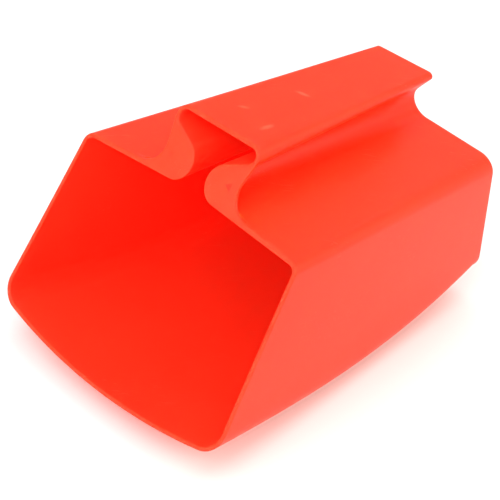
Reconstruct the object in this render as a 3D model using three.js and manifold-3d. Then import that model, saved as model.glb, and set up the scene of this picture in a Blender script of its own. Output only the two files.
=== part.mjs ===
// Hand bailer: a one-piece moulded plastic scoop with a hollow T-shaped handle.
// Millimetres, +Z up, mouth towards -Y, standing as it rests on a flat floor.
import * as THREE from 'three';
import { mergeVertices } from 'three/addons/utils/BufferGeometryUtils.js';
import Module from 'manifold-3d';

// ---- Driving dimensions ----
const WALL = 2.2;                 // wall thickness of the moulding
const BODY_LENGTH = 194.9;        // ridge corner at the mouth to the back wall
const MOUTH_SLOPE = 0.435;        // setback of the mouth plane for each millimetre of height
const BACK_SLOPE = -0.333;        // lean of the back wall, top edge forward
const REST_TILT = 1.5;            // degrees the scoop rocks back on its curved bottom

// Ridge: the corner between side wall and shoulder
const RIDGE_HALF_WIDTH = 75;      // at the mouth
const RIDGE_TAPER = 0.019;        // lost from the half width per millimetre of length
const RIDGE_CLIMB = 0.0004;       // rise of the ridge per millimetre of length
const RIDGE_RADIUS = [5, 11.5];   // at the lip, at the back wall

// Bottom: bowed across, and curved upwards towards both ends
const BOTTOM_HALF_WIDTH = 80;     // under the ridge corner at the mouth
const BOTTOM_TAPER = 0.0348;
const BOTTOM_RADIUS = [14.2, 15.2];
const BOTTOM_DEPTH = 99.4;        // bottom corner below the ridge corner at the lip
const BOTTOM_DIP = -0.142;        // slope of the bottom corner at the lip
const BOTTOM_CURL = 33;           // lift of the bottom corner at the back wall
const BOTTOM_CURL_POWER = 2.8;
const BOW = 7.5;                  // how far the middle of the bottom hangs below its corners

// Shoulder, hand grooves and handle: lip and back wall values, heights above the ridge line
const SHOULDER_PITCH = [0.061, 0.078]; // rise of the shoulder per millimetre towards the handle
const GROOVE_CENTRE_X = [14.2, 21.2];
const GROOVE_RADIUS = [7.3, 11.2];
const WEB_CENTRE_X = [37, 37];
const WEB_RADIUS = [12.5, 12.5];
const WEB_THICKNESS = 2.4;
const HANDLE_HALF_WIDTH = [30.4, 20.5];
const HANDLE_EDGE_RADIUS = [7.2, 2.6];
const HANDLE_TOP = [36.8, 37.1];  // handle plate above the ridge corner at the mouth

// Faceting
const STATIONS = 16;
const ARC_STEPS = 6;
const BOTTOM_STEPS = 7;
const OVERRUN = 45;               // length of the rough solids past the cutting planes

const LIP_Y = -MOUTH_SLOPE * BOTTOM_DEPTH;
const wasm = await Module();
wasm.setup();

const mix = ([front, back], t) => front + (back - front) * t;

// ---- Section outline ----

// A round corner: signed radius is positive where the outline turns left round it.
const corner = (x, z, radius) => ({ centre: new THREE.Vector2(x, z), radius });

// Direction and end points of the straight line that leaves one corner and meets the next.
function tangentLine(from, to) {
  const span = to.centre.clone().sub(from.centre);
  const turn = Math.asin((to.radius - from.radius) / span.length());
  const heading = span.angle() - turn;
  const normal = new THREE.Vector2(-Math.sin(heading), Math.cos(heading));
  return {
    start: from.centre.clone().addScaledVector(normal, -from.radius),
    end: to.centre.clone().addScaledVector(normal, -to.radius),
  };
}

function addArc(path, at, start, end, clockwise) {
  const first = start.clone().sub(at.centre).angle();
  const last = end.clone().sub(at.centre).angle();
  path.absarc(at.centre.x, at.centre.y, Math.abs(at.radius), first, last, clockwise);
}

// Circle through the keel that touches the bottom corner from inside.
function bottomCircle(keel, bend) {
  const rise = bend.centre.y - keel;
  const reach = bend.centre.x ** 2 + rise ** 2 - bend.radius ** 2;
  return corner(0, keel + reach / (2 * (rise - bend.radius)), reach / (2 * (rise - bend.radius)));
}

// Heights that follow the length of the body.
function levels(y) {
  const t = THREE.MathUtils.clamp((y - LIP_Y) / (BODY_LENGTH - LIP_Y), -0.1, 1.1);
  const curl = BOTTOM_CURL * Math.max(t, 0) ** BOTTOM_CURL_POWER;
  return {
    ridge: RIDGE_CLIMB * y,
    bottom: -BOTTOM_DEPTH + BOTTOM_DIP * (y - LIP_Y) + curl,
    along: THREE.MathUtils.clamp(t, 0, 1),
  };
}

// Right half of the outline at one station, from the keel up to the middle of the handle plate.
function halfOutline(y, inset, grooveX, grooveRadius) {
  const { ridge, bottom, along } = levels(y);
  const ridgeX = RIDGE_HALF_WIDTH - RIDGE_TAPER * y;
  const bottomX = BOTTOM_HALF_WIDTH - BOTTOM_TAPER * y;
  const bottomRadius = mix(BOTTOM_RADIUS, along);
  const ridgeRadius = mix(RIDGE_RADIUS, along);
  const edgeRadius = mix(HANDLE_EDGE_RADIUS, along);
  const hollowRadius = mix(grooveRadius, along);
  const hollowX = mix(grooveX, along);
  const shoulder = ridge + mix(SHOULDER_PITCH, along) * (ridgeX - hollowX);
  const bend = corner(bottomX - bottomRadius, bottom + bottomRadius, bottomRadius);
  const ridgeBend = corner(ridgeX - ridgeRadius, ridge - ridgeRadius * 0.93, ridgeRadius);
  const groove = corner(hollowX, shoulder + hollowRadius, -hollowRadius);
  const plate = mix(HANDLE_TOP, along);
  const edge = corner(mix(HANDLE_HALF_WIDTH, along) - edgeRadius, plate - edgeRadius, edgeRadius);
  const belly = bottomCircle(bottom - BOW, bend);
  const chain = [bend, ridgeBend, groove, edge];
  for (const part of [belly, ...chain]) {
    part.radius -= inset;
  }
  const path = new THREE.Path();
  const touch = bend.centre.clone().sub(belly.centre).setLength(belly.radius).add(belly.centre);
  const lines = chain.slice(1).map((next, i) => tangentLine(chain[i], next));
  const top = new THREE.Vector2(edge.centre.x, plate - inset);
  const starts = [touch, ...lines.map((line) => line.end)];
  const ends = [...lines.map((line) => line.start), top];
  chain.forEach((part, i) => addArc(path, part, starts[i], ends[i], part.radius < 0));
  const keelToBend = bottomPoints(belly, touch);
  const upper = path.getPoints(ARC_STEPS / 2);
  return [...keelToBend, ...upper, new THREE.Vector2(0, plate - inset)];
}

// Points of the bowed bottom, from the keel to where the corner starts.
function bottomPoints(belly, touch) {
  const last = Math.atan2(touch.x, belly.centre.y - touch.y);
  return Array.from({ length: BOTTOM_STEPS }, (_, i) => {
    const angle = (last * i) / BOTTOM_STEPS;
    return new THREE.Vector2(
      belly.radius * Math.sin(angle),
      belly.centre.y - belly.radius * Math.cos(angle),
    );
  });
}

function fullOutline(half) {
  const mirrored = half.slice(1, -1).reverse().map((p) => new THREE.Vector2(-p.x, p.y));
  return [...half, ...mirrored];
}

// ---- Lofted solids ----

function loft(rings) {
  const count = rings[0].outline.length;
  const positions = rings.flatMap(({ y, outline }) => outline.flatMap((p) => [p.x, y, p.y]));
  const index = [];
  for (let r = 0; r + 1 < rings.length; r += 1) {
    for (let i = 0; i < count; i += 1) {
      const a = r * count + i;
      const b = r * count + ((i + 1) % count);
      index.push(a, a + count, b, b, a + count, b + count);
    }
  }
  const lastRing = (rings.length - 1) * count;
  for (const [a, b, c] of THREE.ShapeUtils.triangulateShape(rings[0].outline, [])) {
    index.push(a, b, c);
  }
  for (const [a, b, c] of THREE.ShapeUtils.triangulateShape(rings.at(-1).outline, [])) {
    index.push(lastRing + a, lastRing + c, lastRing + b);
  }
  const geometry = new THREE.BufferGeometry();
  geometry.setAttribute('position', new THREE.Float32BufferAttribute(positions, 3));
  geometry.setIndex(index);
  return geometry;
}

function toSolid(geometry) {
  const bare = geometry.clone();
  bare.deleteAttribute('normal');
  bare.deleteAttribute('uv');
  const merged = mergeVertices(bare, 1e-4);
  return new wasm.Manifold(new wasm.Mesh({
    numProp: 3,
    vertProperties: new Float32Array(merged.attributes.position.array),
    triVerts: new Uint32Array(merged.index.array),
  }));
}

function toGeometry(solid) {
  const mesh = solid.getMesh();
  const geometry = new THREE.BufferGeometry();
  geometry.setAttribute('position', new THREE.BufferAttribute(mesh.vertProperties, 3));
  geometry.setIndex(new THREE.BufferAttribute(mesh.triVerts, 1));
  return geometry;
}

// Rough body between two stations, before the mouth and back planes trim it.
function roughBody(inset, grooveX, grooveRadius) {
  const first = LIP_Y - OVERRUN;
  const last = BODY_LENGTH + OVERRUN;
  const rings = Array.from({ length: STATIONS + 1 }, (_, i) => {
    const y = first + ((last - first) * i) / STATIONS;
    return { y, outline: fullOutline(halfOutline(y, inset, grooveX, grooveRadius)) };
  });
  return toSolid(loft(rings));
}

// A block whose lower face is the plane y = slope * z + offset, reaching towards +Y.
function slab(slope, offset, depth) {
  const size = 600;
  const block = new THREE.BoxGeometry(size, depth, size);
  block.translate(0, depth / 2, 0);
  block.rotateX(-Math.atan(slope));
  block.translate(0, offset, 0);
  return toSolid(block);
}

// ---- The moulding ----

const toMouth = Math.hypot(1, MOUTH_SLOPE);
const toBack = Math.hypot(1, BACK_SLOPE);
const behindMouth = slab(MOUTH_SLOPE, 0, 500);
const behindBack = slab(BACK_SLOPE, BODY_LENGTH, 500);
const behindHollow = slab(BACK_SLOPE, BODY_LENGTH - WALL * toBack, 500);
const webLayer = slab(MOUTH_SLOPE, 0, WEB_THICKNESS);

const outside = roughBody(0, GROOVE_CENTRE_X, GROOVE_RADIUS);
const hollow = roughBody(WALL, GROOVE_CENTRE_X, GROOVE_RADIUS).subtract(behindHollow);
const webs = roughBody(0, WEB_CENTRE_X, WEB_RADIUS).intersect(webLayer);
const moulding = outside.add(webs).subtract(hollow).intersect(behindMouth).subtract(behindBack);

const bailer = new THREE.Group();
const shell = new THREE.Mesh(
  toGeometry(moulding),
  new THREE.MeshStandardMaterial({ color: 0xff5235, roughness: 0.45, metalness: 0 }),
);
shell.name = 'bailer_shell';
shell.rotation.x = THREE.MathUtils.degToRad(-REST_TILT);
bailer.add(shell);

// Origin: on the floor, under the middle of the overall box.
const bounds = new THREE.Box3().setFromObject(bailer, true);
const middle = bounds.getCenter(new THREE.Vector3());
shell.position.set(-middle.x, -middle.y, -bounds.min.z);

export default bailer;
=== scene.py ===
import math

import bpy
import numpy as np
from mathutils import Matrix, Vector


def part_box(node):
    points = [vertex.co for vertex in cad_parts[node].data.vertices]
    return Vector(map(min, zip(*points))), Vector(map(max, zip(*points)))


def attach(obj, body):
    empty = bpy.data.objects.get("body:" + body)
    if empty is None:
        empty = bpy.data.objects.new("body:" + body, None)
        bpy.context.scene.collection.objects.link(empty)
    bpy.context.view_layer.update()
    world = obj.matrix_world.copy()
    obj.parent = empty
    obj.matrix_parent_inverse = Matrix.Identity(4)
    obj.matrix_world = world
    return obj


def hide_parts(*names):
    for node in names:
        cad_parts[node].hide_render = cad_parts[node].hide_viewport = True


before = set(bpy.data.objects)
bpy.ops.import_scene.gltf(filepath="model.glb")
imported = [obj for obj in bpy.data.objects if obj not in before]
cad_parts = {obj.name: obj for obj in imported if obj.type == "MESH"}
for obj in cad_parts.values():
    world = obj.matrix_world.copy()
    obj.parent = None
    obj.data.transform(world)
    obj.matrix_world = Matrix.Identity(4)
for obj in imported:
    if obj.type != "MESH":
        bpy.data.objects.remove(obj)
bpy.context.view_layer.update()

# ---- The moulding ----
# A hand bailer is one orange-red plastic moulding: a bowed scoop with a slanted mouth and a hollow
# T-shaped handle that opens into it. The wall is even all over, the mouth is trimmed on a slant
# and its edge is eased, and a flat crescent web closes the mouth end of each hand groove.
WALL = 0.0022
BODY_LENGTH = 0.1949             # ridge corner at the mouth to the back wall
MOUTH_SLOPE = 0.435              # setback of the mouth plane for each metre of height
BACK_SLOPE = -0.333              # lean of the back wall, top edge forward
REST_TILT = math.radians(1.5)    # how far the scoop rocks back on its curved bottom

RIDGE_HALF_WIDTH = 0.075
RIDGE_TAPER = 0.019
RIDGE_CLIMB = 0.0004
RIDGE_RADIUS = (0.005, 0.0115)   # at the lip, at the back wall
RIDGE_DROP = 0.93                # centre of the ridge corner below the ridge line, in radii

BOTTOM_HALF_WIDTH = 0.07996
BOTTOM_TAPER = 0.0348
BOTTOM_RADIUS = (0.0142, 0.0152)
BOTTOM_DEPTH = 0.0994
BOTTOM_DIP = -0.142
BOTTOM_CURL = 0.033
BOTTOM_CURL_POWER = 2.8
BOW = 0.0075                     # how far the keel hangs below the bottom corners

SHOULDER_PITCH = (0.061, 0.078)
GROOVE_CENTRE_X = (0.0142, 0.0212)
GROOVE_RADIUS = (0.0073, 0.0112)
WEB_FOOT_X = 0.037               # where the web runs out on the shoulder
WEB_RADIUS = 0.0125
WEB_THICKNESS = 0.0024
HANDLE_HALF_WIDTH = (0.0304, 0.0205)
HANDLE_EDGE_RADIUS = (0.0072, 0.0026)
HANDLE_TOP = (0.0367, 0.037)

RIM_EASE = 0.0007                # rounding of the trimmed mouth edge
WEB_FILLET = 0.0016              # in the corner between a web and its groove
BACK_EASE = 0.0012               # rounding round the back wall, outside
INNER_FILLET = 0.002             # and inside
CAP_MARGIN = 0.0003              # flat border round the two faces of the back wall
TIGHTEST = 0.0004                # no corner is sharper than this
LEAST_WEB = 0.002                # a web shallower than this fades out into the groove
WEB_STEP = 0.0002                # by this much at most
WELD = 0.000001

INNER_RINGS = 52                 # along the inside
OUTER_RINGS = 64                 # along the outside
SETTLING_ROUNDS = 12             # that bring a ring's points onto its slanted plane
EASE_STEPS = 5                   # rings round a rim's or a web's eased edge
WEB_FILLET_STEPS = 6
BACK_STEPS = 7                   # rings round the edges of the back wall
WEB_ROOM = 0.4                   # share of a shallow web that its easing or fillet may take

LIP_Y = -MOUTH_SLOPE * BOTTOM_DEPTH
TO_MOUTH = math.hypot(1, MOUTH_SLOPE)
TO_BACK = math.hypot(1, BACK_SLOPE)

# Points along each stretch of the right half of a section, from the keel up to mid-handle
STRETCHES = {
    "keel": 26, "bottom corner": 12, "side wall": 18, "ridge": 12, "outer shoulder": 6,
    "inner shoulder": 6, "groove": 20, "flank": 4, "lower edge": 5, "upper edge": 8, "plate": 9,
}
stretch_of = np.repeat(np.arange(len(STRETCHES)), list(STRETCHES.values()))
share_of = np.concatenate([np.arange(n) / n for n in STRETCHES.values()])
stretch_of = np.append(stretch_of, len(STRETCHES) - 1)
share_of = np.append(share_of, 1.0)
HALF = len(stretch_of)
AROUND = 2 * HALF - 2
names = list(STRETCHES)
in_web = (stretch_of >= names.index("inner shoulder")) & (stretch_of <= names.index("lower edge"))
web_share = (np.arange(HALF) - np.argmax(in_web)) / in_web.sum()


def between(pair, t):
    return pair[0] + (pair[1] - pair[0]) * t


def tangent(a, b):
    """Ends of the straight line from circle a to circle b. A negative radius turns right."""
    span = b[0] - a[0]
    heading = np.angle(span) - np.arcsin((b[1] - a[1]) / np.abs(span))
    normal = 1j * np.exp(1j * heading)
    return a[0] - normal * a[1], b[0] - normal * b[1]


def arc(circle, start, end, share):
    """A point on a circle, at a share of the way from start to end, turning as its radius says."""
    centre, radius = circle
    first = np.angle(start - centre)
    sweep = np.angle((end - centre) / (start - centre))
    turn = np.where(radius > 0, np.mod(sweep, 2 * np.pi), -np.mod(-sweep, 2 * np.pi))
    turn = np.where(np.abs(turn) > 6, 0, turn)
    return centre + np.abs(radius) * np.exp(1j * (first + share * turn))


def section(y, inset, on_web):
    """Right half of the section at y, as x + z i: one y and one inset for each of its points."""
    t = np.clip((y - LIP_Y) / (BODY_LENGTH - LIP_Y), -0.1, 1.1)
    along = np.clip(t, 0, 1)
    ridge_x = RIDGE_HALF_WIDTH - RIDGE_TAPER * y
    ridge_z = RIDGE_CLIMB * y
    bottom_x = BOTTOM_HALF_WIDTH - BOTTOM_TAPER * y
    bottom_z = -BOTTOM_DEPTH + BOTTOM_DIP * (y - LIP_Y)
    bottom_z = bottom_z + BOTTOM_CURL * np.maximum(t, 0) ** BOTTOM_CURL_POWER
    least = inset + TIGHTEST
    r = np.maximum(between(BOTTOM_RADIUS, along), least)
    bend = (bottom_x - r + 1j * (bottom_z + r), r - inset)
    rise = BOW + r
    keel_radius = (bend[0].real ** 2 + rise ** 2 - r ** 2) / (2 * (rise - r))
    keel = (1j * (bottom_z - BOW + keel_radius), keel_radius - inset)
    r = np.maximum(between(RIDGE_RADIUS, along), least)
    ridge = (ridge_x - r + 1j * (ridge_z - RIDGE_DROP * r), r - inset)
    r = between(GROOVE_RADIUS, along)
    x = between(GROOVE_CENTRE_X, along)
    shoulder_z = ridge_z + between(SHOULDER_PITCH, along) * (ridge_x - x)
    groove = (x + 1j * (shoulder_z + r), -r - inset)
    r = np.maximum(between(HANDLE_EDGE_RADIUS, along), least)
    edge = (between(HANDLE_HALF_WIDTH, along) - r + 1j * (between(HANDLE_TOP, along) - r), r - inset)

    to_bend = bend[0] - keel[0]
    touch = keel[0] + keel[1] * to_bend / np.abs(to_bend)
    side_low, side_high = tangent(bend, ridge)
    shoulder_out, shoulder_in = tangent(ridge, groove)
    flank_low, flank_high = tangent(groove, edge)
    run = shoulder_in - shoulder_out
    foot = shoulder_out + run * (shoulder_out.real - WEB_FOOT_X) / -run.real
    web = (foot - 1j * run / np.abs(run) * (WEB_RADIUS + inset), -(WEB_RADIUS + inset))
    web_high, web_end = tangent(web, edge)
    plate = edge[0] + 1j * edge[1]

    f = share_of
    points = np.choose(stretch_of, [
        arc(keel, keel[0] - 1j * keel[1], touch, f),
        arc(bend, touch, side_low, f),
        side_low + (side_high - side_low) * f,
        arc(ridge, side_high, shoulder_out, f),
        shoulder_out + (foot - shoulder_out) * f,
        foot + (shoulder_in - foot) * f,
        arc(groove, shoulder_in, flank_low, f),
        flank_low + (flank_high - flank_low) * f,
        arc(edge, flank_high, web_end, f),
        arc(edge, web_end, plate, f),
        plate * (1 - f) + 1j * plate.imag * f,
    ])
    points = np.where(f == 1, 1j * plate.imag, points)
    if on_web:
        curved = np.abs(web[1]) * np.abs(np.angle((web_high - web[0]) / (foot - web[0])))
        straight = np.abs(web_end - web_high)
        gone = web_share * (curved + straight)
        on_arc = arc(web, foot, web_high, np.minimum(gone / curved, 1))
        on_line = web_high + (web_end - web_high) * np.maximum(gone - curved, 0) / straight
        points = np.where(in_web, np.where(gone < curved, on_arc, on_line), points)
    return points


def ring(offset, slope, inset=0.0, on_web=False):
    """A closed ring of points on the plane y = offset + slope * z, given for each point of the half."""
    inset = np.full(HALF, 1.0) * inset
    y = np.full(HALF, 1.0) * offset
    for _ in range(SETTLING_ROUNDS):
        points = section(y, inset, on_web)
        y = offset + slope * points.imag
    right = np.stack([points.real, y, points.imag], 1)
    left = right[-2:0:-1] * (-1, 1, 1)
    return np.concatenate([right, left])


def mouth_ring(depth, inset=0.0, on_web=False):
    return ring(depth * TO_MOUTH, MOUTH_SLOPE, inset, on_web)


def back_ring(depth, inset=0.0):
    return ring(BODY_LENGTH - depth * TO_BACK, BACK_SLOPE, inset)


def skin_rings(mouth_depth, back_depth, inset, count):
    """Rings from the mouth to the back wall. Their planes turn from the one's slope to the other's."""
    rings = []
    for t in np.linspace(0, 1, count):
        offset = between((mouth_depth * TO_MOUTH, BODY_LENGTH - back_depth * TO_BACK), t)
        rings.append(ring(offset, between((MOUTH_SLOPE, BACK_SLOPE), t), inset))
    return rings


def quarter(count):
    """Angles of a quarter turn, both ends included."""
    return np.linspace(0, np.pi / 2, count)


# From the middle of the inner back wall, forwards along the inside, round the rim and the webs,
# and back along the outside to the middle of the outer back wall
rings = [back_ring(WALL, WALL + INNER_FILLET + CAP_MARGIN)]
for a in quarter(BACK_STEPS)[::-1]:
    depth = WALL + INNER_FILLET * (1 - math.sin(a))
    rings.append(back_ring(depth, WALL + INNER_FILLET * (1 - math.cos(a))))
rings += skin_rings(RIM_EASE, WALL + INNER_FILLET, WALL, INNER_RINGS)[-2::-1]
rim_start = len(rings) - 1
for a in quarter(EASE_STEPS)[1:]:
    rings.append(mouth_ring(RIM_EASE * (1 - math.sin(a)), WALL - RIM_EASE * (1 - math.cos(a))))
for a in quarter(EASE_STEPS)[::-1]:
    rings.append(mouth_ring(RIM_EASE * (1 - math.sin(a)), RIM_EASE * (1 - math.cos(a)), True))
rim_end = len(rings) - 1

# The web's free edge is rounded at the back as well, and a fillet joins it to the groove. Both
# shrink to nothing where the web runs out.
deep = mouth_ring(WEB_THICKNESS)[:HALF]
shallow = mouth_ring(WEB_THICKNESS, 0.0, True)[:HALF]
reach = np.where(in_web, np.linalg.norm(shallow - deep, axis=1), 0)
ease = np.minimum(RIM_EASE, WEB_ROOM * reach)
fillet = np.minimum(WEB_FILLET, WEB_ROOM * reach)
apart = WEB_STEP * (1 - np.minimum(reach / LEAST_WEB, 1))
for a in quarter(EASE_STEPS):
    rings.append(mouth_ring(WEB_THICKNESS - RIM_EASE * (1 - math.sin(a)), ease * (1 - math.cos(a)), True))
for a in quarter(WEB_FILLET_STEPS):
    depth = WEB_THICKNESS + apart + (WEB_FILLET - apart) * (1 - math.cos(a))
    rings.append(mouth_ring(depth, -fillet * (1 - math.sin(a))))
rings += skin_rings(WEB_THICKNESS + WEB_FILLET, BACK_EASE, 0.0, OUTER_RINGS)[1:]
for a in quarter(BACK_STEPS)[1:]:
    rings.append(back_ring(BACK_EASE * (1 - math.sin(a)), BACK_EASE * (1 - math.cos(a))))
rings.append(back_ring(0.0, BACK_EASE + CAP_MARGIN))

# From the moulding's own axes to how it stands: rocked back, on the floor, centred as the frame is
rocked = Matrix.Rotation(-REST_TILT, 3, "X")
points = np.concatenate(rings) @ np.array(rocked).T
cad_low, cad_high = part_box("bailer_shell")
middle = (points[:, 1].min() + points[:, 1].max()) / 2
lift = Vector((0, (cad_low.y + cad_high.y) / 2 - middle, cad_low.z - points[:, 2].min()))
points += np.array(lift)


def standing(x, y, z):
    """Where a point of the moulding's own axes comes to lie as the scoop stands."""
    return rocked @ Vector((x, y, z)) + lift


# How far each point lies behind the mouth, for the wear along its edge
behind_mouth = np.concatenate(rings) @ (0, 1 / TO_MOUTH, -MOUTH_SLOPE / TO_MOUTH)

sections = bpy.data.meshes.new("bailer_sections")
last = len(points) - AROUND
inner_face = list(range(AROUND))
outer_face = list(range(len(points) - 1, last - 1, -1))
sections.from_pydata(points.tolist(), [], [inner_face, outer_face])
sections.attributes.new("behind_mouth", "FLOAT", "POINT").data.foreach_set("value", behind_mouth)
ring_number = np.repeat(np.arange(len(rings)), AROUND).astype(float)
sections.attributes.new("ring", "FLOAT", "POINT").data.foreach_set("value", ring_number)


def new_tree(name, kind, inputs, outputs):
    """An empty node group with its sockets, and its input and output nodes."""
    tree = bpy.data.node_groups.new(name, kind)
    for side, sockets in (("INPUT", inputs), ("OUTPUT", outputs)):
        for label, socket, *value in sockets:
            made = tree.interface.new_socket(label, in_out=side, socket_type="NodeSocket" + socket)
            if value:
                made.default_value = value[0]
    return tree, tree.nodes.new("NodeGroupInput"), tree.nodes.new("NodeGroupOutput")


def put(tree, kind, feeds=None, **settings):
    """A node with its settings, and its sockets set to a value or joined to another node's output."""
    node = tree.nodes.new(kind)
    for name, value in settings.items():
        setattr(node, name, value)
    for socket, value in (feeds or {}).items():
        if isinstance(value, bpy.types.NodeSocket):
            tree.links.new(value, node.inputs[socket])
        else:
            node.inputs[socket].default_value = value
    return node


# The loft: a sheet of quads is laid through the rings and welded along its seam and to the two
# faces of the back wall, which come with the rings.
loft, given, made = new_tree("loft_through_sections", "GeometryNodeTree", [
    ("Sections", "Geometry"), ("Points Around", "Int", 3), ("Rings", "Int", 2),
    ("Rim Starts", "Int", 0), ("Rim Ends", "Int", 0), ("Weld Distance", "Float", WELD),
    ("Inside Material", "Material"), ("Rim Material", "Material"), ("Outside Material", "Material"),
], [("Moulding", "Geometry")])


def whole(operation, a, b):
    """A sum, product, quotient or remainder of two whole numbers."""
    return put(loft, "FunctionNodeIntegerMath", {0: a, 1: b}, operation=operation).outputs[0]


def carried(name):
    """A value that the rings carry, read on whichever geometry it is used."""
    return put(loft, "GeometryNodeInputNamedAttribute", {"Name": name}, data_type="FLOAT").outputs[0]


def from_rings(value, data_type):
    """The same value, read at the ring point that a point of the sheet stands for."""
    return put(loft, "GeometryNodeSampleIndex", {
        "Geometry": given.outputs["Sections"], "Value": value, "Index": source,
    }, data_type=data_type).outputs[0]


index = put(loft, "GeometryNodeInputIndex").outputs[0]
around = given.outputs["Points Around"]
columns = whole("ADD", around, 1)
step = whole("MODULO", whole("MODULO", index, columns), around)
source = whole("ADD", whole("MULTIPLY", whole("DIVIDE_FLOOR", index, columns), around), step)
skin = put(loft, "GeometryNodeMeshGrid", {
    "Vertices X": given.outputs["Rings"], "Vertices Y": columns}).outputs["Mesh"]
for name in ("ring", "behind_mouth"):
    skin = put(loft, "GeometryNodeStoreNamedAttribute", {
        "Geometry": skin, "Name": name, "Value": from_rings(carried(name), "FLOAT"),
    }, data_type="FLOAT", domain="POINT").outputs[0]
place = from_rings(put(loft, "GeometryNodeInputPosition").outputs[0], "FLOAT_VECTOR")
skin = put(loft, "GeometryNodeSetPosition", {"Geometry": skin, "Position": place}).outputs[0]
neighbours = put(loft, "GeometryNodeInputMeshVertexNeighbors")
loose = put(loft, "FunctionNodeCompare", {2: neighbours.outputs["Face Count"], 3: 0},
            data_type="INT", operation="EQUAL").outputs[0]
caps = put(loft, "GeometryNodeDeleteGeometry", {
    "Geometry": given.outputs["Sections"], "Selection": loose}, domain="POINT").outputs[0]
both = put(loft, "GeometryNodeJoinGeometry")
for part in (caps, skin):
    loft.links.new(part, both.inputs[0])
welded = put(loft, "GeometryNodeMergeByDistance", {
    "Geometry": both.outputs[0], "Distance": given.outputs["Weld Distance"]}).outputs[0]
smooth = put(loft, "GeometryNodeSetShadeSmooth", {"Geometry": welded}).outputs[0]
body = put(loft, "GeometryNodeRealizeInstances", {"Geometry": smooth}).outputs[0]
before_rim_end = put(loft, "FunctionNodeCompare", {
    0: carried("ring"), 1: given.outputs["Rim Ends"]}, data_type="FLOAT", operation="LESS_THAN")
before_rim = put(loft, "FunctionNodeCompare", {
    0: carried("ring"), 1: given.outputs["Rim Starts"]}, data_type="FLOAT", operation="LESS_THAN")
for where, finish in ((None, "Outside"), (before_rim_end, "Rim"), (before_rim, "Inside")):
    feeds = {"Geometry": body, "Material": given.outputs[finish + " Material"]}
    if where:
        feeds["Selection"] = where.outputs[0]
    body = put(loft, "GeometryNodeSetMaterial", feeds).outputs[0]
loft.links.new(body, made.inputs[0])


# The plastic: a satin polyolefin, coloured right through, a little cloudy in its pigment and finely
# grained by the mould, with pale rubs where hands and gunwales have worn it.
def shade(kind, feeds=None, **settings):
    """A node in the tree that is being made, which is the one in shader."""
    return put(shader, kind, feeds, **settings)


def maths(operation, a, b=0.0, c=0.0, **settings):
    """A sum, product or other plain operation on up to three values."""
    return shade("ShaderNodeMath", {0: a, 1: b, 2: c}, operation=operation, **settings).outputs[0]


def mixed(share, a, b):
    """Colour b over colour a, in the given share."""
    return shade("ShaderNodeMix", {0: share, 6: a, 7: b}, data_type="RGBA").outputs[2]


def ranged(value, low, high, to_low=0.0, to_high=1.0):
    """A value stretched from one range onto another, and held inside it."""
    return shade("ShaderNodeMapRange", {
        "Value": value, "From Min": low, "From Max": high, "To Min": to_low, "To Max": to_high,
    }).outputs[0]


def noise(vector, scale, detail=2.0, roughness=0.5):
    """Soft noise between 0 and 1, with this many lumps to a metre."""
    return shade("ShaderNodeTexNoise", {
        "Vector": vector, "Scale": scale, "Detail": detail, "Roughness": roughness}).outputs[0]


shader, given, made = new_tree("cloudy_pigment", "ShaderNodeTree", [
    ("Colour", "Color"), ("Cloud Colour", "Color"), ("Cloud Size", "Float", 0.03),
    ("Fleck Size", "Float", 0.002), ("Amount", "Float", 0.5)], [("Colour", "Color")])
spot = shade("ShaderNodeTexCoord").outputs["Object"]
per_cloud = maths("DIVIDE", 1.0, given.outputs["Cloud Size"])
per_fleck = maths("DIVIDE", 1.0, given.outputs["Fleck Size"])
clouds = ranged(noise(spot, per_cloud, 3.0), 0.35, 0.65)
flecks = ranged(noise(spot, per_fleck, 2.0), 0.4, 0.6)
clouded = maths("MULTIPLY_ADD", flecks, 0.25, clouds)
share = maths("MULTIPLY", clouded, given.outputs["Amount"])
shader.links.new(mixed(share, given.outputs["Colour"], given.outputs["Cloud Colour"]), made.inputs[0])
cloudy_pigment = shader

shader, given, made = new_tree("mould_grain", "ShaderNodeTree", [
    ("Grain Size", "Float", 0.0006), ("Grain Depth", "Float", 0.00001),
    ("Ripple Size", "Float", 0.03), ("Ripple Depth", "Float", 0.0001)], [("Height", "Float")])
spot = shade("ShaderNodeTexCoord").outputs["Object"]
height = 0.0
for part in ("Grain", "Ripple"):
    per_metre = maths("DIVIDE", 1.0, given.outputs[part + " Size"])
    height = maths("MULTIPLY_ADD", noise(spot, per_metre), given.outputs[part + " Depth"], height)
shader.links.new(height, made.inputs[0])
mould_grain = shader

# Patches of fine parallel scuffs, and nicks that thin out away from the mouth's edge
SCUFF_HEADING = 0.6
NICKS_PER_METRE = 180.0
shader, given, made = new_tree("rubs_and_scuffs", "ShaderNodeTree", [
    ("Patch Size", "Float", 0.04), ("Scuff Length", "Float", 0.012), ("Scuff Width", "Float", 0.0012),
    ("Behind Mouth", "Float"), ("Edge Reach", "Float", 0.004), ("Edge Wear", "Float", 0.4),
    ("Amount", "Float", 0.3)], [("Mask", "Float")])
spot = shade("ShaderNodeTexCoord").outputs["Object"]
per_patch = maths("DIVIDE", 1.0, given.outputs["Patch Size"])
patches = ranged(noise(spot, per_patch, 4.0, 0.6), 0.52, 0.68)
per_width = maths("DIVIDE", 1.0, given.outputs["Scuff Width"])
per_length = maths("DIVIDE", 1.0, given.outputs["Scuff Length"])
stretch = shade("ShaderNodeCombineXYZ", {0: per_width, 1: per_length, 2: per_width})
turned = shade("ShaderNodeMapping", {"Vector": spot, "Rotation": (0.0, 0.0, SCUFF_HEADING)}).outputs[0]
drawn_out = shade("ShaderNodeVectorMath", {0: turned, 1: stretch.outputs[0]}, operation="MULTIPLY").outputs[0]
streaks = ranged(noise(drawn_out, 1.0, 2.0), 0.6, 0.72)
worn = maths("MULTIPLY", maths("MULTIPLY", patches, streaks), given.outputs["Amount"])
inland = maths("DIVIDE", given.outputs["Behind Mouth"], given.outputs["Edge Reach"])
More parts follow.
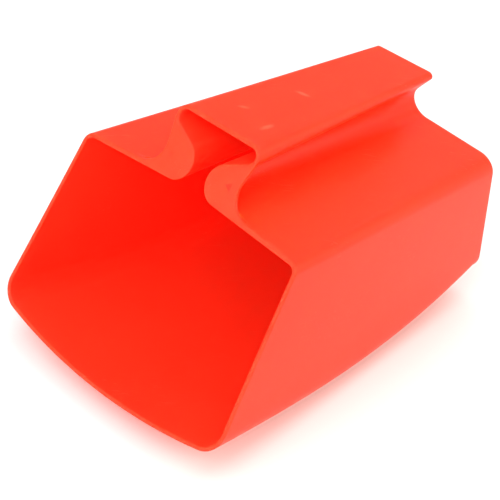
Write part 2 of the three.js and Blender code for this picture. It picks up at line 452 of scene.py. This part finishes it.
nicked = maths("MULTIPLY_ADD", noise(spot, NICKS_PER_METRE, 3.0), 1.6, inland)
edge = maths("MULTIPLY", ranged(nicked, 0.7, 1.3, 1.0, 0.0), given.outputs["Edge Wear"])
shader.links.new(maths("ADD", worn, edge, use_clamp=True), made.inputs[0])
rubs_and_scuffs = shader

# One ragged oval mark at a place. Its size is half its length, width and depth.
shader, given, made = new_tree("ragged_oval_mark", "ShaderNodeTree", [
    ("Place", "Vector"), ("Turn", "Vector"), ("Size", "Vector"), ("Ragged", "Float", 0.5),
], [("Mask", "Float")])
spot = shade("ShaderNodeTexCoord").outputs["Object"]
off = shade("ShaderNodeVectorMath", {0: spot, 1: given.outputs["Place"]}, operation="SUBTRACT").outputs[0]
turned = shade("ShaderNodeMapping", {"Vector": off, "Rotation": given.outputs["Turn"]}).outputs[0]
sized = shade("ShaderNodeVectorMath", {0: turned, 1: given.outputs["Size"]}, operation="DIVIDE").outputs[0]
far = shade("ShaderNodeVectorMath", {0: sized}, operation="LENGTH").outputs["Value"]
torn = maths("MULTIPLY_ADD", noise(sized, 2.0, 4.0), given.outputs["Ragged"], far)
shader.links.new(ranged(torn, 0.5, 1.1, 1.0, 0.0), made.inputs[0])
ragged_oval_mark = shader

# A small three-cornered mark, one corner down: a point is inside while it is less than half the
# radius from the middle, measured square to each of the three sides.
shader, given, made = new_tree("three_cornered_mark", "ShaderNodeTree", [
    ("Place", "Vector"), ("Turn", "Vector"), ("Radius", "Float", 0.0025)], [("Mask", "Float")])
spot = shade("ShaderNodeTexCoord").outputs["Object"]
off = shade("ShaderNodeVectorMath", {0: spot, 1: given.outputs["Place"]}, operation="SUBTRACT").outputs[0]
turned = shade("ShaderNodeMapping", {"Vector": off, "Rotation": given.outputs["Turn"]}).outputs[0]
across, _, up = shade("ShaderNodeSeparateXYZ", {0: turned}).outputs
lowered = maths("MULTIPLY", up, -0.5)
slanted = maths("MULTIPLY_ADD", maths("ABSOLUTE", across), math.sqrt(0.75), lowered)
share = maths("DIVIDE", maths("MAXIMUM", slanted, up), given.outputs["Radius"])
shader.links.new(ranged(share, 0.4, 0.6, 1.0, 0.0), made.inputs[0])
three_cornered_mark = shader


def grouped(group, **values):
    """The output of a group, with its inputs set by name. An underline stands for a space."""
    node = shade("ShaderNodeGroup", node_tree=group)
    for name, value in values.items():
        node.inputs[name.replace("_", " ")].default_value = value
    return node.outputs[0]


def plastic(name, colour, cloud, pale, gloss, scuffs, edge_wear, grain_depth,
            rubbed=(), darkened=(), painted_glow=0.0):
    """Satin moulded plastic. gloss is its roughness where clean, and where rubbed. The glow it is given is
    painted light, a faint red emission that stands in for the daylight coming through the thin wall into the
    hollow."""
    global shader
    material = bpy.data.materials.new(name)
    material.use_nodes = True
    shader = material.node_tree
    shader.nodes.clear()
    base = grouped(cloudy_pigment, Colour=colour, Cloud_Colour=cloud, Cloud_Size=0.035, Amount=0.5)
    scuffed = grouped(rubs_and_scuffs, Amount=scuffs, Edge_Wear=edge_wear)
    shader.links.new(shade("ShaderNodeAttribute", attribute_name="behind_mouth").outputs["Fac"],
                     scuffed.node.inputs["Behind Mouth"])
    for mark in rubbed:
        scuffed = maths("MULTIPLY_ADD", grouped(ragged_oval_mark, **mark), RUB_STRENGTH, scuffed, use_clamp=True)
    for group, mark, strength in darkened:
        base = mixed(maths("MULTIPLY", grouped(group, **mark), strength), base, DARK_MARK_COLOUR)
    height = grouped(mould_grain, Grain_Depth=grain_depth)
    bump = shade("ShaderNodeBump", {"Height": height, "Distance": 1.0, "Strength": 1.0})
    skin = shade("ShaderNodeBsdfPrincipled", {
        "Base Color": mixed(scuffed, base, pale),
        "Roughness": ranged(scuffed, 0.0, 1.0, *gloss),
        "Normal": bump.outputs[0],
        "IOR": 1.5, "Specular IOR Level": 0.15,
        "Subsurface Weight": 1.0, "Subsurface Radius": (1.0, 0.1, 0.06), "Subsurface Scale": 0.006,
        "Emission Color": (1, 0.02, 0.01, 1), "Emission Strength": painted_glow,
    })
    shade("ShaderNodeOutputMaterial", {"Surface": skin.outputs[0]})
    return material


# Three pale rubs on the handle plate, and two dark marks on the webs: a ragged blot on the left one and a
# small three-cornered mark on the right one
DARK_MARK_COLOUR = (0.1, 0.004, 0.002, 1)
RUB_STRENGTH = 0.7
RUB_DEPTH = 0.002
rubs = [{"Place": standing(x, y, HANDLE_TOP[0]), "Turn": (0, 0, heading), "Size": (length, width, RUB_DEPTH)}
        for x, y, heading, length, width in (
            (-0.0011, 0.0842, -0.2, 0.0065, 0.0026), (-0.0072, 0.0415, -0.7, 0.0048, 0.0022),
            (0.0134, 0.0361, -1.5, 0.0075, 0.0024))]


def on_web(x, z):
    """A place on the front of a web, at a width and height in the moulding's own axes."""
    return standing(x, MOUTH_SLOPE * z, z)


# The two web marks only darken the colour, towards a deep red-black, in a ragged blot and a three-cornered
# patch.
web_marks = [
    (ragged_oval_mark, {"Place": on_web(-0.02, 0.0123), "Size": (0.003, 0.003, 0.003)}, 0.2),
    (three_cornered_mark, {"Place": on_web(0.0195, 0.0138), "Turn": (0, math.radians(30), 0)}, 0.5),
]

outside = plastic(
    "outer_skin", colour=(0.985, 0.041, 0.0095, 1), cloud=(0.98, 0.035, 0.0074, 1),
    pale=(0.97, 0.14, 0.075, 1), gloss=(0.42, 0.6), scuffs=0.5, edge_wear=0.15,
    grain_depth=0.000012, rubbed=rubs)
# The inner skin has a faint painted red glow, an emission that brightens the hollow in place of light coming
# through the wall.
inside = plastic(
    "inner_skin", colour=(0.996, 0.036, 0.0105, 1), cloud=(0.994, 0.031, 0.009, 1),
    pale=(0.95, 0.11, 0.06, 1), gloss=(0.48, 0.62), scuffs=0.3, edge_wear=0.1,
    grain_depth=0.000008, painted_glow=0.055)
rim = plastic(
    "trimmed_rim", colour=(0.96, 0.052, 0.015, 1), cloud=(0.94, 0.046, 0.012, 1),
    pale=(0.97, 0.18, 0.11, 1), gloss=(0.5, 0.65), scuffs=0.4, edge_wear=0.03,
    grain_depth=0.00002, darkened=web_marks)

blank = bpy.data.objects.new("bailer_sections", sections)
bpy.context.scene.collection.objects.link(blank)
lofting = blank.modifiers.new("loft", "NODES")
lofting.node_group = loft
values = {"Points Around": AROUND, "Rings": len(rings), "Rim Starts": rim_start, "Rim Ends": rim_end,
          "Weld Distance": WELD, "Inside Material": inside, "Rim Material": rim,
          "Outside Material": outside}
for socket in loft.interface.items_tree:
    if socket.name in values:
        lofting[socket.identifier] = values[socket.name]
bpy.context.view_layer.update()
lofted = blank.evaluated_get(bpy.context.evaluated_depsgraph_get())
bailer = bpy.data.objects.new("hand_bailer", bpy.data.meshes.new_from_object(lofted))
bpy.context.scene.collection.objects.link(bailer)
bpy.data.objects.remove(blank)
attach(bailer, "root")
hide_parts("bailer_shell")

# ---- Floor ----
# A plain pale studio floor that runs out of sight in every direction. It is a sheet of painted
# board, matt, with the faintest unevenness in its paint.
FLOOR_HALF = 6.0
floor_mesh = bpy.data.meshes.new("studio_floor")
floor_mesh.from_pydata(
    [(x * FLOOR_HALF, y * FLOOR_HALF, 0) for x, y in ((-1, -1), (1, -1), (1, 1), (-1, 1))],
    [], [(0, 1, 2, 3)])
floor = bpy.data.objects.new("studio_floor", floor_mesh)
bpy.context.scene.collection.objects.link(floor)
paint = bpy.data.materials.new("floor_paint")
paint.use_nodes = True
shader = paint.node_tree
shader.nodes.clear()
spot = shade("ShaderNodeTexCoord").outputs["Object"]
tone = mixed(noise(spot, 3.0), (0.92, 0.92, 0.92, 1), (0.95, 0.95, 0.95, 1))
coat = shade("ShaderNodeBsdfPrincipled", {"Base Color": tone, "Roughness": 0.9, "Specular IOR Level": 0.1})
shade("ShaderNodeOutputMaterial", {"Surface": coat.outputs[0]})
floor_mesh.materials.append(paint)

# ---- Light and camera ----
# Soft studio light: an even white room with six large soft boxes, most of them above and in front
# of the mouth, and a slightly warm one at the right.
ROOM_BRIGHTNESS = 0.61
world = bpy.data.worlds.new("white_room")
bpy.context.scene.world = world
world.use_nodes = True
room = world.node_tree.nodes["Background"]
room.inputs["Color"].default_value = (1, 1, 1, 1)
room.inputs["Strength"].default_value = ROOM_BRIGHTNESS
bpy.context.scene.view_settings.view_transform = "Standard"

aim = Vector((-0.0007, -0.0206, 0.0594))


def soft_box(name, size, watts, place, colour=(1, 1, 1)):
    """A square lamp at a place, turned to the scoop."""
    lamp = bpy.data.lights.new(name, "AREA")
    lamp.shape = "SQUARE"
    lamp.size = size
    lamp.energy = watts
    lamp.color = colour
    lamp_object = bpy.data.objects.new(name, lamp)
    lamp_object.location = place
    lamp_object.rotation_euler = (Vector(place) - aim).to_track_quat("Z", "Y").to_euler()
    bpy.context.scene.collection.objects.link(lamp_object)


soft_box("top_light", 1.2, 6, (0, 0, 1.6))
soft_box("top_front_light", 1.0, 10.7, (0, -1.0, 1.3))
soft_box("mouth_light", 1.0, 9.2, (0, -1.6, 0.5))
soft_box("front_light", 0.8, 6.5, (0.75, -1.1, 1.0), (1, 0.98, 0.88))
soft_box("right_light", 1.0, 9.5, (1.2, 0.9, 0.7), (1, 0.97, 0.72))
soft_box("back_light", 1.0, 2, (0, 1.2, 1.2))

VIEW_AZIMUTH = math.radians(33.71)
VIEW_ELEVATION = math.radians(33.84)
VIEW_ROLL = math.radians(12.86)
VIEW_DISTANCE = 0.7257
FOCAL_LENGTH = 90.93
lens = bpy.data.cameras.new("camera")
lens.lens = FOCAL_LENGTH
camera = bpy.data.objects.new("camera", lens)
camera.matrix_world = (
    Matrix.Translation(aim)
    @ Matrix.Rotation(VIEW_AZIMUTH, 4, "Z")
    @ Matrix.Rotation(math.pi / 2 - VIEW_ELEVATION, 4, "X")
    @ Matrix.Rotation(VIEW_ROLL, 4, "Z")
    @ Matrix.Translation((0, 0, VIEW_DISTANCE)))
bpy.context.scene.collection.objects.link(camera)
bpy.context.scene.camera = camera
